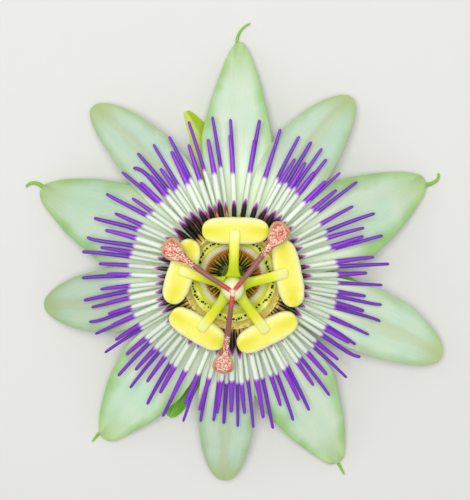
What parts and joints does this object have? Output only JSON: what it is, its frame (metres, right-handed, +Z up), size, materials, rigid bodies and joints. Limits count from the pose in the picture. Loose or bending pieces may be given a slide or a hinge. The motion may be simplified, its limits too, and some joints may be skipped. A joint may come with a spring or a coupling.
{
  "type": "passion flower",
  "caption": "Open passion flower with pale tepals, a fringed violet and white corona, stamens and arching styles on a central column, resting face up on its bracts.",
  "frame": {"origin": "on the surface the flower rests on, under the middle of its outline", "axes": "+Z up along the flower's own axis, out of its face; +Y towards the sepal with the long awn, along the flower's longest extent; +X completes the right-handed frame"},
  "size_m": [0.0872, 0.0958, 0.0271],
  "materials": {
    "stalk": "smooth green stalk, slightly waxy",
    "bract": "soft green leafy bract, matt, with fine veins",
    "cup": "pale green fleshy cup, smooth",
    "sepal": "pale greenish white, satin, faintly veined, greener at the margins",
    "petal": "greenish white, satin, faintly veined",
    "corona_lower": "fleshy filaments, dark maroon at the foot, white in the middle, violet tips",
    "corona_upper": "fleshy filaments, dark maroon at the foot, white in the middle, bright violet tips",
    "corona_inner": "short threads with small dark heads",
    "operculum": "thin cream membrane with a brown to dark green fringe",
    "column": "bright yellow green, smooth and slightly glossy",
    "anther": "pale yellow, matt with pollen, deeper yellow in the folds",
    "ovary": "pale green, smooth with a soft bloom",
    "style": "mauve pink, smooth; papillose pink and white on the stigma"
  },
  "bodies": {
    "root": {"androgynophore": "column", "anther_1": "anther", "anther_2": "anther", "anther_3": "anther", "anther_4": "anther", "anther_5": "anther", "bract_1": "bract", "bract_2": "bract", "bract_3": "bract", "corona_inner_row": "corona_inner", "corona_lower_row": "corona_lower", "corona_upper_row": "corona_upper", "floral_cup": "cup", "operculum": "operculum", "ovary": "ovary", "petal_1": "petal", "petal_2": "petal", "petal_3": "petal", "petal_4": "petal", "petal_5": "petal", "sepal_1": "sepal", "sepal_2": "sepal", "sepal_3": "sepal", "sepal_4": "sepal", "sepal_5": "sepal", "stalk_stub": "stalk", "stamen_filament_1": "column", "stamen_filament_2": "column", "stamen_filament_3": "column", "stamen_filament_4": "column", "stamen_filament_5": "column", "style_1": "style", "style_2": "style", "style_3": "style"}
  },
  "joints": []
}
